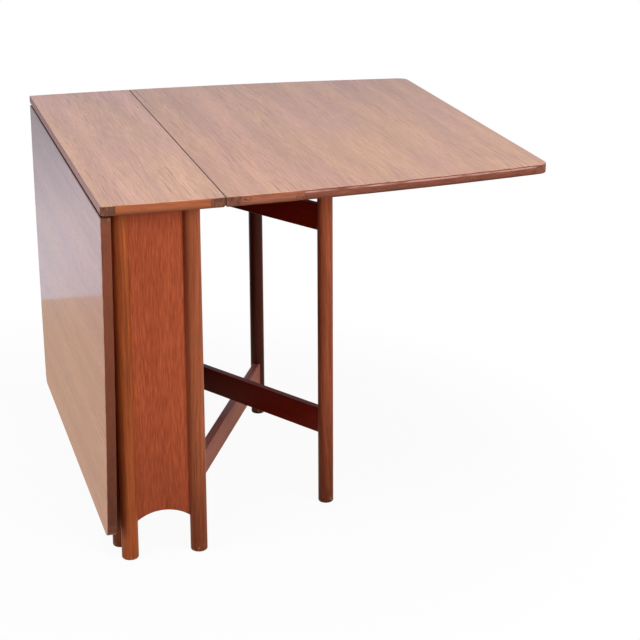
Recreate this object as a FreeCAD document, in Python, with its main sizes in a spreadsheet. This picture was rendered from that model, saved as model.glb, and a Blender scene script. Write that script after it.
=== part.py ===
# Drop-leaf table with crossing gates under each leaf, modelled half open.
# Millimetres. The origin is on the floor at the middle of the base, +Z up, +X towards the raised
# leaf and +Y along the hinge lines. The right leaf is up on its open gates, the left leaf hangs.
import FreeCAD, Part
import os
from collections import namedtuple

SIZES = {
    # Boards
    "table_height": 730,
    "table_length": 1000,
    "centre_width": 230,
    "leaf_width": 652,
    "board_thickness": 19,
    "veneer": 0.8,
    "edge_ease": 1.8,
    "end_bow": 64,
    "corner_radius": 24,
    "side_lipping": 28,
    "end_lipping": 10,
    "seam_gap": 1,
    "hang_gap": 3,
    "edge_round": 6,
    # End frames
    "leg_diameter": 33,
    "leg_setback": 11.5,
    "end_overhang": 88,
    "foot_round": 4,
    "panel_thickness": 14,
    "panel_setback": 6,
    "panel_housing": 8,
    "arch_foot": 74,
    "arch_rise": 17,
    "arch_ease": 1.5,
    # Long rails and the bearers that carry the gates
    "spine_clearance": 4,
    "stretcher_depth": 35,
    "bearer_thickness": 20,
    "bearer_width": 40,
    "bearer_end": 15.5,
    "running_clearance": 0.06,
    "bearer_screw_spacing": 20,
    "bearer_screw_bite": 20,
    "fixing_screw_spread": 300,
    "fixing_screw_bite": 12,
    "dowel_diameter": 10,
    "dowel_in_leg": 20,
    "dowel_in_board": 12,
    # Gates
    "gate_leg_diameter": 31,
    "stile_diameter": 20,
    "stile_setback": 112,
    "stile_inset": 36.4,
    "inner_leg_setback": 60,
    "outer_leg_setback": 97,
    "inner_open_angle": 30.1,
    "outer_open_angle": 26.6,
    "fold_clearance": 4,
    "rail_thickness": 18,
    "rail_depth": 53,
    "rail_round": 3,
    "rail_gap": 3,
    "lowest_rail": 71,
    "top_rail_depth": 46,
    "top_rail_clearance": 5,
    "leaf_rest_gap": 0.3,
    "tenon_thickness": 9,
    "tenon_depth": 9,
    "tenon_shoulder": 8,
    "glue_line": 0.05,
    "stop_length": 40,
    "stop_width": 16,
    "stop_depth": 12,
    "stop_gap": 0.3,
    # Leaf hinges
    "hinge_length": 60,
    "hinge_setback": 63,
    "plate_thickness": 2.5,
    "plate_width": 33,
    "plate_margin": 1,
    "arm_relief": 0.8,
    "neck_thickness": 3,
    "barrel_radius": 4,
    "pin_radius": 2,
    "pin_clearance": 0.05,
    "knuckle_length": 23,
    "knuckle_gap": 0.3,
    "mortise_clearance": 1.5,
    "screw_radius": 1.8,
    "screw_head_radius": 3.4,
    "screw_head_depth": 1.8,
    "screw_length": 14,
    "screw_spacing": 36,
    "screw_clearance": 0.1,
}

TINY = 0.001
REACH_PAST = 10
SIDES = {"left": -1, "right": 1}
ENDS = {"near": -1, "far": 1}

doc = FreeCAD.newDocument("drop_leaf_table")
sheet = doc.addObject("Spreadsheet::Sheet", "Sizes")
for row, (alias, value) in enumerate(SIZES.items(), start=1):
    sheet.set(f"A{row}", alias)
    sheet.set(f"B{row}", str(value))
    sheet.setAlias(f"B{row}", alias)
doc.recompute()

parts = {}


def size(alias):
    """The expression that reads one driving dimension."""
    return f"Sizes.{alias}"


def value_of(expression):
    """The number an expression has now, for picking edges and for rounding radii."""
    return float(sheet.evalExpression(expression))


# Levels and distances that follow from the driving dimensions, as expressions
TOP = size("table_height")
UNDER = f"({TOP} - {size('board_thickness')})"
HALF_LENGTH = f"({size('table_length')} / 2)"
HALF_CENTRE = f"({size('centre_width')} / 2)"
HALF_SPAN = f"({HALF_CENTRE} + {size('seam_gap')} + {size('leaf_width')})"
BOW_RADIUS = f"(({HALF_SPAN}^2 + {size('end_bow')}^2) / (2 * {size('end_bow')}))"
HINGE_INSET = f"(({size('board_thickness')} + {size('hang_gap')} - {size('seam_gap')}) / 2)"
HINGE_X = f"({HALF_CENTRE} - {HINGE_INSET})"
HINGE_Z = f"({TOP} - {HINGE_INSET})"
LEAF_START = f"({HINGE_INSET} + {size('seam_gap')})"
LEAF_END = f"({LEAF_START} + {size('leaf_width')})"
LEAF_UNDER = f"({HINGE_INSET} - {size('board_thickness')})"
LEG_RADIUS = f"({size('leg_diameter')} / 2)"
HANG_FACE = f"({HALF_CENTRE} - {size('board_thickness')})"
LEG_X = f"({HANG_FACE} - {size('leg_setback')} - {LEG_RADIUS})"
LEG_Y = f"({HALF_LENGTH} - {size('end_overhang')})"
PANEL_Y = f"({LEG_Y} - {size('panel_setback')})"
GATE_LEG_RADIUS = f"({size('gate_leg_diameter')} / 2)"
STILE_RADIUS = f"({size('stile_diameter')} / 2)"
STILE_Y = f"({LEG_Y} - {size('stile_setback')})"
OUTER_LEG_Y = f"({LEG_Y} - {size('outer_leg_setback')})"
FOLDED_X = f"({HANG_FACE} - {size('fold_clearance')} - {GATE_LEG_RADIUS})"
STILE_X = f"({FOLDED_X} - {size('stile_inset')})"
INNER_RUN = f"({STILE_Y} + {LEG_Y} - {size('inner_leg_setback')})"
OUTER_RUN = f"({STILE_Y} + {OUTER_LEG_Y})"

# Gate levels: the outer gate's rails lie outside the inner gate's, with the bearers between
OUTER_LOW = size("lowest_rail")
LOW_BEARER = f"({OUTER_LOW} + {size('rail_depth')} + {size('rail_gap')})"
LOW_BEARER_TOP = f"({LOW_BEARER} + {size('bearer_thickness')})"
INNER_LOW = f"({LOW_BEARER_TOP} + {size('rail_gap')})"
OUTER_HIGH_TOP = f"({UNDER} - {size('top_rail_clearance')})"
OUTER_HIGH = f"({OUTER_HIGH_TOP} - {size('top_rail_depth')})"
HIGH_BEARER_TOP = f"({OUTER_HIGH} - {size('rail_gap')})"
HIGH_BEARER = f"({HIGH_BEARER_TOP} - {size('bearer_thickness')})"
INNER_HIGH = f"({HIGH_BEARER} - {size('rail_gap')} - {size('rail_depth')})"

# The near gates turn on a full stile set in from the folded legs. The far gates turn on two short
# pivots in line with the folded legs, so that the near gates' rails can pass between them.
Gate = namedtuple("Gate", "pivot_x reach folded opened low high high_depth uprights")
GATES = {
    "near": Gate(
        pivot_x=STILE_X,
        reach=f"sqrt({INNER_RUN}^2 + {size('stile_inset')}^2)",
        folded=f"(atan({size('stile_inset')} / {INNER_RUN}) / 1 deg)",
        opened=size("inner_open_angle"),
        low=INNER_LOW,
        high=INNER_HIGH,
        high_depth=size("rail_depth"),
        uprights=("stile", [(LOW_BEARER, HIGH_BEARER_TOP)]),
    ),
    "far": Gate(
        pivot_x=FOLDED_X,
        reach=OUTER_RUN,
        folded="0",
        opened=size("outer_open_angle"),
        low=OUTER_LOW,
        high=OUTER_HIGH,
        high_depth=size("top_rail_depth"),
        uprights=("pivots", [(OUTER_LOW, LOW_BEARER_TOP), (HIGH_BEARER, OUTER_HIGH_TOP)]),
    ),
}

# Hinge levels, measured from the hinge axis
PLATE_LOW = f"({LEAF_UNDER} - {size('plate_thickness')})"
PLATE_START = f"({LEAF_START} + {size('plate_margin')})"
PLATE_END = f"({PLATE_START} + {size('plate_width')})"
HINGE_Y = f"({OUTER_LEG_Y} - {size('hinge_setback')})"
HALF_HINGE = f"({size('hinge_length')} / 2)"
HALF_KNUCKLE = f"({size('knuckle_length')} / 2)"
HINGE_STATIONS = [f"(-{HINGE_Y})", "0", HINGE_Y]


def bind(item, **expressions):
    """Tie properties of an object to expressions."""
    for name, expression in expressions.items():
        item.setExpression(name, expression)
    return item


def place(item, x, y, z, axis=(0, 0, 1), angle="0"):
    """Tie an object's place to expressions: a base point and a turn about a fixed axis."""
    item.Placement = FreeCAD.Placement(FreeCAD.Vector(), FreeCAD.Rotation(FreeCAD.Vector(*axis), 1))
    for name, expression in {"Base.x": x, "Base.y": y, "Base.z": z, "Rotation.Angle": angle}.items():
        item.setExpression(f"Placement.{name}", expression)
    return item


def box(name, x, y, z):
    """A box between pairs of expressions along each axis."""
    item = doc.addObject("Part::Box", name)
    bind(item, Length=f"{x[1]} - ({x[0]})", Width=f"{y[1]} - ({y[0]})", Height=f"{z[1]} - ({z[0]})")
    return place(item, x[0], y[0], z[0])


def post(name, x, y, z, radius):
    """An upright cylinder between two heights."""
    item = doc.addObject("Part::Cylinder", name)
    bind(item, Radius=radius, Height=f"{z[1]} - ({z[0]})")
    return place(item, x, y, z[0])


def bar_along_y(name, x, y, z, radius):
    """A cylinder whose axis runs along Y between two stations."""
    item = doc.addObject("Part::Cylinder", name)
    bind(item, Radius=radius, Height=f"{y[1]} - ({y[0]})")
    return place(item, x, y[0], z, axis=(1, 0, 0), angle="-90")


def cut(name, base, tool):
    """One solid less another."""
    item = doc.addObject("Part::Cut", name)
    item.Base = base
    item.Tool = tool
    return item


def overlap(name, first, second):
    """What two solids share."""
    item = doc.addObject("Part::Common", name)
    item.Base = first
    item.Tool = second
    return item


def fuse(name, items):
    """Solids joined where they meet; solids that stand apart stay separate."""
    item = doc.addObject("Part::MultiFuse", name)
    item.Shapes = items
    return item


def group(name, items):
    """Separate solids kept in one object."""
    item = doc.addObject("Part::Compound", name)
    item.Links = items
    return item


def rounded(name, base, radius, pick, kind="Part::Fillet"):
    """A solid with the edges that pick chooses rounded, or bevelled as a chamfer."""
    doc.recompute()
    chosen = [number for number, edge in enumerate(base.Shape.Edges, start=1) if pick(edge.BoundBox)]
    item = doc.addObject(kind, name)
    item.Base = base
    item.Edges = [(number, radius, radius) for number in chosen]
    return item


def footed_post(name, x, y, top, radius):
    """A turned leg from the floor up, with the edge of its foot rounded."""
    turned = post(f"{name}_turning", x, y, ("0", top), radius)
    return rounded(f"{name}_footed", turned, value_of(size("foot_round")), lambda b: b.ZMax < TINY)


def sub_part(node, item):
    """Keep an object as a named piece of the table."""
    item.Label = node
    parts[node] = item
    return item


def centred(half):
    """A pair of expressions either side of zero."""
    return (f"-({half})", f"({half})")


def lens(name, inset, z, shift):
    """The table's outline with bowed ends, as the overlap of two large discs."""
    radius = f"({BOW_RADIUS} - {inset})"
    offset = f"({BOW_RADIUS} - {HALF_LENGTH})"
    near = post(f"{name}_near_bow", shift, offset, z, radius)
    far = post(f"{name}_far_bow", shift, f"-{offset}", z, radius)
    return overlap(name, near, far)


def mirrored(hand, start, finish):
    """A pair of expressions on the positive side, or its mirror image when hand is negative."""
    if hand > 0:
        return (start, finish)
    return (f"-({finish})", f"-({start})")


def flat_at(low, high, level):
    """Whether a range closes on one level."""
    return abs(low - level) < TINY and abs(high - level) < TINY


def board_blank(name, x, z, shift, inset="0"):
    """A stretch of board between two X stations, with the table's bowed ends."""
    block = box(f"{name}_block", x, centred(f"{HALF_LENGTH} + {REACH_PAST}"), z)
    return overlap(name, block, lens(f"{name}_outline", inset, z, shift))


def round_corners(name, base, x_end):
    """Round the two outer corners of a leaf, no wider than its outer lipping."""
    edge_x = value_of(x_end)
    limit = value_of(size("side_lipping")) - 2 * TINY
    radius = min(value_of(size("corner_radius")), limit)
    return rounded(name, base, radius, lambda b: flat_at(b.XMin, b.XMax, edge_x) and b.YLength < TINY)


def ease_edges(name, base, z):
    """Take the sharp edges off the upper and lower faces of a board."""
    low = value_of(z[0])
    high = value_of(z[1])
    return rounded(
        name,
        base,
        value_of(size("edge_ease")),
        lambda b: flat_at(b.ZMin, b.ZMax, high) or flat_at(b.ZMin, b.ZMax, low),
    )


def end_lippings(name, x, z, shift):
    """The two bowed strips that close a board's ends."""
    outer = board_blank(f"{name}_outer", x, z, shift)
    inner = lens(f"{name}_inner", size("end_lipping"), z, shift)
    return cut(name, outer, inner)


def mortises(name):
    """Recesses in the centre board for the hinge barrels, measured from the hinge axis."""
    beyond = f"({size('barrel_radius')} + {size('mortise_clearance')})"
    x = (f"-{PLATE_START}", beyond)
    z = (LEAF_UNDER, beyond)
    half = f"({HALF_HINGE} + {size('mortise_clearance')})"
    blocks = [
        box(f"{name}_{number}", x, (f"{station} - {half}", f"{station} + {half}"), z)
        for number, station in enumerate(HINGE_STATIONS)
    ]
    return fuse(name, blocks)


def hang(item, side, swings):
    """Place a piece made about the hinge axis: the right leaf lies flat, the left leaf hangs."""
    if side == "right":
        return place(item, HINGE_X, "0", HINGE_Z)
    if swings:
        return place(item, f"-{HINGE_X}", "0", HINGE_Z, axis=(1, 0, -1), angle="180")
    return place(item, f"-{HINGE_X}", "0", HINGE_Z, angle="180")


def centre_outline(z):
    """The centre board as one solid: eased edges, and long lower edges rounded to clear the leaves."""
    blank = board_blank("centre_blank", centred(HALF_CENTRE), z, "0")
    edge_x = value_of(HALF_CENTRE)
    low = value_of(z[0])
    high = value_of(z[1])
    swept = rounded(
        "centre_swept",
        blank,
        value_of(size("edge_round")),
        lambda b: b.XLength < TINY and flat_at(b.ZMin, b.ZMax, low),
    )
    end_y = value_of(f"{HALF_LENGTH} - {BOW_RADIUS} + sqrt({BOW_RADIUS}^2 - {HALF_CENTRE}^2)")
    return rounded(
        "centre_outline",
        swept,
        value_of(size("edge_ease")),
        lambda b: flat_at(b.ZMin, b.ZMax, high) or min(abs(b.YMin), abs(b.YMax)) > end_y - TINY,
    )


def build_centre_board():
    """The narrow fixed board: core, lippings and top veneer, trimmed to one outline."""
    z = (UNDER, f"({TOP} - {size('veneer')})")
    inner = f"({HALF_CENTRE} - {size('side_lipping')})"
    outline = centre_outline((UNDER, TOP))
    core = board_blank("centre_core_blank", centred(inner), z, "0", size("end_lipping"))
    for side in SIDES:
        core = cut(f"centre_core_{side}_recess", core, hang(mortises(f"{side}_core_mortises"), side, False))
    sub_part("centre_core", core)
    ends = end_lippings("centre_end_strips", centred(inner), z, "0")
    sub_part("centre_end_lippings", overlap("centre_end_strips_eased", ends, outline))
    skin = board_blank("centre_skin", centred(HALF_CENTRE), (z[1], TOP), "0")
    sub_part("centre_veneer", overlap("centre_skin_eased", skin, outline))
    for side in SIDES:
        strip = board_blank(f"{side}_centre_strip", (inner, HALF_CENTRE), z, "0")
        soft = overlap(f"{side}_centre_strip_eased", strip, outline)
        recess = place(mortises(f"{side}_mortises"), HINGE_X, "0", HINGE_Z)
        lipping = cut(f"{side}_centre_lipping_cut", soft, recess)
        turn = "0" if side == "right" else "180"
        sub_part(f"centre_{side}_lipping", place(lipping, "0", "0", "0", angle=turn))


def build_leaf(side):
    """One leaf, made about its hinge axis: core, lippings, top veneer and gate stops."""
    shift = f"-{HINGE_X}"
    z = (LEAF_UNDER, f"({HINGE_INSET} - {size('veneer')})")
    whole_x = (LEAF_START, LEAF_END)
    whole_z = (LEAF_UNDER, HINGE_INSET)
    core_x = (f"({LEAF_START} + {size('side_lipping')})", f"({LEAF_END} - {size('side_lipping')})")
    node = f"{side}_leaf"
    blank = board_blank(f"{node}_blank", whole_x, whole_z, shift)
    outline = ease_edges(f"{node}_outline", round_corners(f"{node}_cornered", blank, LEAF_END), whole_z)
    layers = {
        "end_lippings": end_lippings(f"{node}_end_strips", core_x, z, shift),
        "inner_lipping": board_blank(f"{node}_inner_strip", (LEAF_START, core_x[0]), z, shift),
        "outer_lipping": board_blank(f"{node}_outer_strip", (core_x[1], LEAF_END), z, shift),
        "veneer": board_blank(f"{node}_skin", whole_x, (z[1], HINGE_INSET), shift),
    }
    pieces = {name: overlap(f"{node}_{name}_eased", layer, outline) for name, layer in layers.items()}
    pieces["core"] = board_blank(f"{node}_slab", core_x, z, shift, size("end_lipping"))
    pieces["gate_stops"] = gate_stops(f"{node}_stop_blocks", SIDES[side])
    for name, item in pieces.items():
        sub_part(f"{node}_{name}", hang(item, side, True))


def gate_stops(name, hand):
    """Blocks under a leaf that the open gate legs come up against. Hanging turns the left leaf round."""
    blocks = []
    for end, gate in GATES.items():
        sign = hand * ENDS[end]
        turn = f"({sign} * (90 - {gate.opened}))"
        open_x = f"({gate.pivot_x} + {gate.reach} * sin({gate.opened}))"
        open_y = f"({gate.reach} * cos({gate.opened}) - {STILE_Y})"
        start = f"({GATE_LEG_RADIUS} + {size('stop_gap')})"
        y = mirrored(-sign, start, f"({start} + {size('stop_width')})")
        z = (f"({LEAF_UNDER} - {size('stop_depth')})", LEAF_UNDER)
        block = box(f"{name}_{end}_block", centred(f"{size('stop_length')} / 2"), y, z)
        turned = group(f"{name}_{end}", [block])
        place(turned, f"({open_x} - {HINGE_X})", f"({sign} * {open_y})", "0", angle=turn)
        blocks.append(turned)
    return fuse(name, blocks)


def build_end_frame(end):
    """An arched panel housed between two round legs, set in from their axes."""
    sign = ENDS[end]
    y = f"({sign} * {PANEL_Y})"
    half_panel = f"({LEG_X} - {LEG_RADIUS} + {size('panel_housing')})"
    half_chord = f"({LEG_X} - {LEG_RADIUS})"
    rise = size("arch_rise")
    arch_radius = f"(({half_chord}^2 + {rise}^2) / (2 * {rise}))"
    arch_top = f"({size('arch_foot')} + {rise})"
    half = f"({size('panel_thickness')} / 2)"
    blank = box(
        f"{end}_panel_blank",
        centred(half_panel),
        (f"{y} - {half}", f"{y} + {half}"),
        (f"({size('arch_foot')} - {rise})", UNDER),
    )
    past = f"({half} + {REACH_PAST})"
    arch = bar_along_y(
        f"{end}_arch", "0", (f"{y} - {past}", f"{y} + {past}"), f"({arch_top} - {arch_radius})", arch_radius
    )
    arched = cut(f"{end}_panel", blank, arch)
    least_chord = value_of(half_chord)
    eased = rounded(
        f"{end}_panel_eased",
        arched,
        value_of(size("arch_ease")),
        lambda b: b.YLength < TINY and b.XLength > least_chord and b.ZLength > TINY,
    )
    panel = sub_part(f"{end}_end_panel", eased)
    for side, hand in SIDES.items():
        node = f"{end}_{side}_leg"
        footed = footed_post(node, f"({hand} * {LEG_X})", f"({sign} * {LEG_Y})", UNDER, LEG_RADIUS)
        sub_part(node, cut(f"{node}_grooved", footed, panel))


def build_spine():
    """The two long rails of the base and the bearers that the gates at the other end turn in."""
    run = centred(f"{PANEL_Y} - {size('panel_thickness')} / 2")
    half = centred(f"{STILE_X} - {STILE_RADIUS} - {size('spine_clearance')}")
    stretcher = box("stretcher", half, run, (f"({LOW_BEARER} - {size('stretcher_depth')})", LOW_BEARER))
    sub_part("lower_stretcher", stretcher)
    sub_part("upper_rail", box("top_rail", half, run, (HIGH_BEARER_TOP, UNDER)))
    levels = {"lower": (LOW_BEARER, LOW_BEARER_TOP), "upper": (HIGH_BEARER, HIGH_BEARER_TOP)}
    width = f"({size('bearer_width')} / 2)"
    bore = f"({STILE_RADIUS} + {size('running_clearance')})"
    for end, gate in zip(ENDS, reversed(GATES.values())):
        y = f"({ENDS[end]} * {STILE_Y})"
        reach = f"({gate.pivot_x} + {size('bearer_end')})"
        for level, z in levels.items():
            name = f"{end}_{level}_bearer"
            blank = box(f"{name}_blank", centred(reach), (f"{y} - {width}", f"{y} + {width}"), z)
            holes = [
                post(f"{name}_{side}_bore", f"({hand} * {gate.pivot_x})", y, z, bore)
                for side, hand in SIDES.items()
            ]
            sub_part(name, cut(f"{name}_bored", blank, fuse(f"{name}_bores", holes)))


def wood_screw(name, x, y, head_z, length, up=True, grow="0"):
    """A countersunk screw driven up or down from its head's level: its shank and its head."""
    radius = f"({size('screw_radius')} + {grow})"
    head = f"({size('screw_head_radius')} + {grow})"
    depth = size("screw_head_depth")
    shank_z = (head_z, f"({head_z} + {length})") if up else (f"({head_z} - {length})", head_z)
    shank = post(f"{name}_shank", x, y, shank_z, radius)
    cone = doc.addObject("Part::Cone", f"{name}_head")
    ends = (head, radius) if up else (radius, head)
    bind(cone, Radius1=ends[0], Radius2=ends[1], Height=depth)
    return [shank, place(cone, x, y, head_z if up else f"({head_z} - {depth})")]


def build_fixings():
    """Screws that hold the bearers and the centre board to the long rails, and the leg dowels."""
    length = f"({size('bearer_thickness')} + {size('bearer_screw_bite')})"
    bearer_screws = []
    for end, sign in ENDS.items():
        for step in (-1, 1):
            y = f"({sign} * {STILE_Y} + {step} * {size('bearer_screw_spacing')} / 2)"
            tag = f"{end}_bearer_screw_{step + 1}"
            bearer_screws += wood_screw(f"{tag}_low", "0", y, LOW_BEARER_TOP, length, up=False)
            bearer_screws += wood_screw(f"{tag}_high", "0", y, HIGH_BEARER, length)
    sub_part("bearer_screws", fuse("bearer_screw_set", bearer_screws))
    fixing = f"({UNDER} - {HIGH_BEARER_TOP} + {size('fixing_screw_bite')})"
    fixing_screws = []
    for number, step in enumerate((-1, 0, 1)):
        y = f"({step} * {size('fixing_screw_spread')} / 2)"
        fixing_screws += wood_screw(f"fixing_screw_{number}", "0", y, HIGH_BEARER_TOP, fixing)
    sub_part("board_fixing_screws", fuse("fixing_screw_set", fixing_screws))
    z = (f"({UNDER} - {size('dowel_in_leg')})", f"({UNDER} + {size('dowel_in_board')})")
    radius = f"({size('dowel_diameter')} / 2)"
    dowels = [
        post(f"{end}_{side}_dowel", f"({hand} * {LEG_X})", f"({sign} * {LEG_Y})", z, radius)
        for end, sign in ENDS.items()
        for side, hand in SIDES.items()
    ]
    sub_part("leg_dowels", group("dowel_set", dowels))


def gate_rail(name, reach, z):
    """A rail from stile to leg, coped to both and tenoned into them, with its tenon blank."""
    half = f"({size('rail_thickness')} / 2)"
    blank = box(f"{name}_blank", ("0", reach), centred(half), z)
    long_edge = value_of(reach)
    soft = rounded(
        f"{name}_soft",
        blank,
        value_of(size("rail_round")),
        lambda b: abs(b.XLength - long_edge) < TINY,
    )
    past = (f"({z[0]} - {REACH_PAST})", f"({z[1]} + {REACH_PAST})")
    copes = [
        post(f"{name}_stile_cope", "0", "0", past, f"({STILE_RADIUS} + {size('glue_line')})"),
        post(f"{name}_leg_cope", reach, "0", past, f"({GATE_LEG_RADIUS} + {size('glue_line')})"),
    ]
    coped = cut(f"{name}_coped", soft, fuse(f"{name}_copes", copes))
    tenon = box(
        f"{name}_tenon",
        (
            f"({STILE_RADIUS} - {size('tenon_depth')})",
            f"({reach} - {GATE_LEG_RADIUS} + {size('tenon_depth')})",
        ),
        centred(f"{size('tenon_thickness')} / 2"),
        (f"({z[0]} + {size('tenon_shoulder')})", f"({z[1]} - {size('tenon_shoulder')})"),
    )
    return fuse(f"{name}_rail", [coped, tenon]), tenon


def build_gate(side, end):
    """A gate made along +X from its pivot: the near gate's rails lie inside the far gate's."""
    node = f"{side}_{end}_gate"
    gate = GATES[end]
    low_z = (gate.low, f"({gate.low} + {size('rail_depth')})")
    high_z = (gate.high, f"({gate.high} + {gate.high_depth})")
    lower, low_tenon = gate_rail(f"{node}_low", gate.reach, low_z)
    upper, high_tenon = gate_rail(f"{node}_high", gate.reach, high_z)
    tenons = fuse(f"{node}_tenons", [low_tenon, high_tenon])
    leg_top = f"({UNDER} - {size('leaf_rest_gap')})"
    leg = footed_post(f"{node}_leg", gate.reach, "0", leg_top, GATE_LEG_RADIUS)
    upright, spans = gate.uprights
    bars = [post(f"{node}_bar_{row}", "0", "0", z, STILE_RADIUS) for row, z in enumerate(spans)]
    pieces = {
        "leg": cut(f"{node}_leg_mortised", leg, tenons),
        upright: cut(f"{node}_{upright}_mortised", group(f"{node}_bars", bars), tenons),
        "lower_rail": lower,
        "upper_rail": upper,
    }
    hand = SIDES[side]
    toward = ENDS[end]
    swing = gate.opened if side == "right" else f"-{gate.folded}"
    angle = f"({toward} * (90 - {swing}))"
    for name, item in pieces.items():
        place(item, f"({hand} * {gate.pivot_x})", f"({-toward} * {STILE_Y})", "0", angle=angle)
        sub_part(f"{node}_{name}", item)


def screw_set(name, hand, grow="0"):
    """The wood screws of three hinge plates, or their holes when grown."""
    x = f"({hand} * ({PLATE_START} + {PLATE_END}) / 2)"
    items = []
    for number, station in enumerate(HINGE_STATIONS):
        for step in (-1, 1):
            y = f"({station} + {step} * {size('screw_spacing')} / 2)"
            tag = f"{name}_{number}_{step + 1}"
            items += wood_screw(tag, x, y, PLATE_LOW, size("screw_length"), grow=grow)
    return fuse(name, items)


def flap_set(name, hand, knuckles):
    """Three hinge flaps about the hinge axis: plates, arms under the joint, necks and barrels."""
    solids = []
    bores = []
    half_neck = f"({size('neck_thickness')} / 2)"
    arm_top = f"({LEAF_UNDER} - {size('arm_relief')})"
    plate = mirrored(hand, PLATE_START, PLATE_END)
    arm = mirrored(hand, f"-{half_neck}", f"({PLATE_START} + {size('neck_thickness')})")
    for number, station in enumerate(HINGE_STATIONS):
        tag = f"{name}_{number}"
        whole = (f"({station} - {HALF_HINGE})", f"({station} + {HALF_HINGE})")
        solids.append(box(f"{tag}_plate", plate, whole, (PLATE_LOW, LEAF_UNDER)))
        for turn, (start, finish) in enumerate(knuckles):
            y = (f"({station} + {start})", f"({station} + {finish})")
            solids.append(box(f"{tag}_arm_{turn}", arm, y, (PLATE_LOW, arm_top)))
            solids.append(box(f"{tag}_neck_{turn}", centred(half_neck), y, (PLATE_LOW, "0")))
            solids.append(bar_along_y(f"{tag}_barrel_{turn}", "0", y, "0", size("barrel_radius")))
        bore = f"({size('pin_radius')} + {size('pin_clearance')})"
        bores.append(bar_along_y(f"{tag}_bore", "0", whole, "0", bore))
    holes = screw_set(f"{name}_holes", hand, size("screw_clearance"))
    bored = cut(f"{name}_bored", fuse(f"{name}_forged", solids), fuse(f"{name}_bores", bores))
    return cut(name, bored, holes)


def build_hinges(side):
    """Three butt hinges with buried barrels along one seam."""
    gap = f"({HALF_KNUCKLE} + {size('knuckle_gap')})"
    outer = [(f"-{HALF_HINGE}", f"-{gap}"), (gap, HALF_HINGE)]
    middle = [centred(HALF_KNUCKLE)]
    pins = []
    for number, station in enumerate(HINGE_STATIONS):
        whole = (f"({station} - {HALF_HINGE})", f"({station} + {HALF_HINGE})")
        pins.append(bar_along_y(f"{side}_pin_{number}", "0", whole, "0", size("pin_radius")))
    fixed = {
        "fixed_flaps": flap_set(f"{side}_fixed_flap_set", -1, outer),
        "pins": group(f"{side}_pin_set", pins),
        "fixed_screws": screw_set(f"{side}_fixed_screw_set", -1),
    }
    swinging = {
        "leaf_flaps": flap_set(f"{side}_leaf_flap_set", 1, middle),
        "leaf_screws": screw_set(f"{side}_leaf_screw_set", 1),
    }
    for swings, pieces in ((False, fixed), (True, swinging)):
        for name, item in pieces.items():
            sub_part(f"{side}_hinge_{name}", hang(item, side, swings))


build_centre_board()
for side_name in SIDES:
    build_leaf(side_name)
    build_hinges(side_name)
for end_name in ENDS:
    build_end_frame(end_name)
build_spine()
build_fixings()
for side_name in SIDES:
    for end_name in ENDS:
        build_gate(side_name, end_name)
doc.recompute()

failed = [item.Label for item in doc.Objects if "Invalid" in item.State or "Error" in item.State]
failed += [node for node, item in parts.items() if item.Shape.isNull() or not item.Shape.isValid()]
if failed:
    raise RuntimeError(f"pieces that did not build: {failed}")

os.makedirs("parts", exist_ok=True)
for node, item in parts.items():
    item.Shape.exportStep(os.path.join("parts", f"{node}.step"))
    print(f"{node}: {len(item.Shape.Solids)} solids, {item.Shape.Volume / 1000:.1f} cm3")
for end_name, hung in GATES.items():
    print(f"{end_name} gates swing through {value_of(f'{hung.opened} - {hung.folded}'):.2f} degrees")
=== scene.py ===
"""Looks of a drop-leaf gateleg table: lacquered veneer, solid edges, turned legs and brass.

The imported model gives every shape, in metres. This script dresses its nodes with procedural
woods and metals, models the wood screws again with slotted heads, and sets up the camera,
soft lamps and a pale floor.
"""

import logging
import math
from dataclasses import dataclass
from enum import Enum
from itertools import product

import bmesh
import bpy
from mathutils import Matrix, Vector


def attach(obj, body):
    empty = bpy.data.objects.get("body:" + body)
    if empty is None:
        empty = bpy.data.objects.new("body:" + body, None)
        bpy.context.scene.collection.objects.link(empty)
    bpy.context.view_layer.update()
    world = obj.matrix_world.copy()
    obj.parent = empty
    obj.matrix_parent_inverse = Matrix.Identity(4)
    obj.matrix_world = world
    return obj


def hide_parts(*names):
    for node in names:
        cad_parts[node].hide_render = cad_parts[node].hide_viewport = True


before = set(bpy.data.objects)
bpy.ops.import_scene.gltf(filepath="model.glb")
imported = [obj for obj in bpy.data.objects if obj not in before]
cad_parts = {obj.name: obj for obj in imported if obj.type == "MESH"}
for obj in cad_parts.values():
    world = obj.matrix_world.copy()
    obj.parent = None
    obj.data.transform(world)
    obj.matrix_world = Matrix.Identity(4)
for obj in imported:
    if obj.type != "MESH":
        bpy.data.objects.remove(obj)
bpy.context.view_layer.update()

LOG = logging.getLogger("table")
PICTURE_SIDE = 640
SENSOR = 36.0

Colour = tuple[float, float, float]
Triple = tuple[float, float, float]

WHITE: Colour = (1.0, 1.0, 1.0)
UP: Triple = (0.0, 0.0, 1.0)
DOWN: Triple = (0.0, 0.0, -1.0)
LEFTWARD: Triple = (-1.0, 0.0, 0.0)
NOISE_MEAN = 0.5


def screen(red: int, green: int, blue: int) -> Colour:
    """Turn an 8-bit screen colour into the linear colour that shaders take.

    Args:
        red: Red level, 0 to 255.
        green: Green level, 0 to 255.
        blue: Blue level, 0 to 255.

    Returns:
        The linear colour.
    """

    def linear(level: int) -> float:
        """Linear light of one 8-bit level, by the sRGB formula."""
        share = level / 255
        return share / 12.92 if share <= 0.04045 else ((share + 0.055) / 1.055) ** 2.4

    return linear(red), linear(green), linear(blue)


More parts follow.
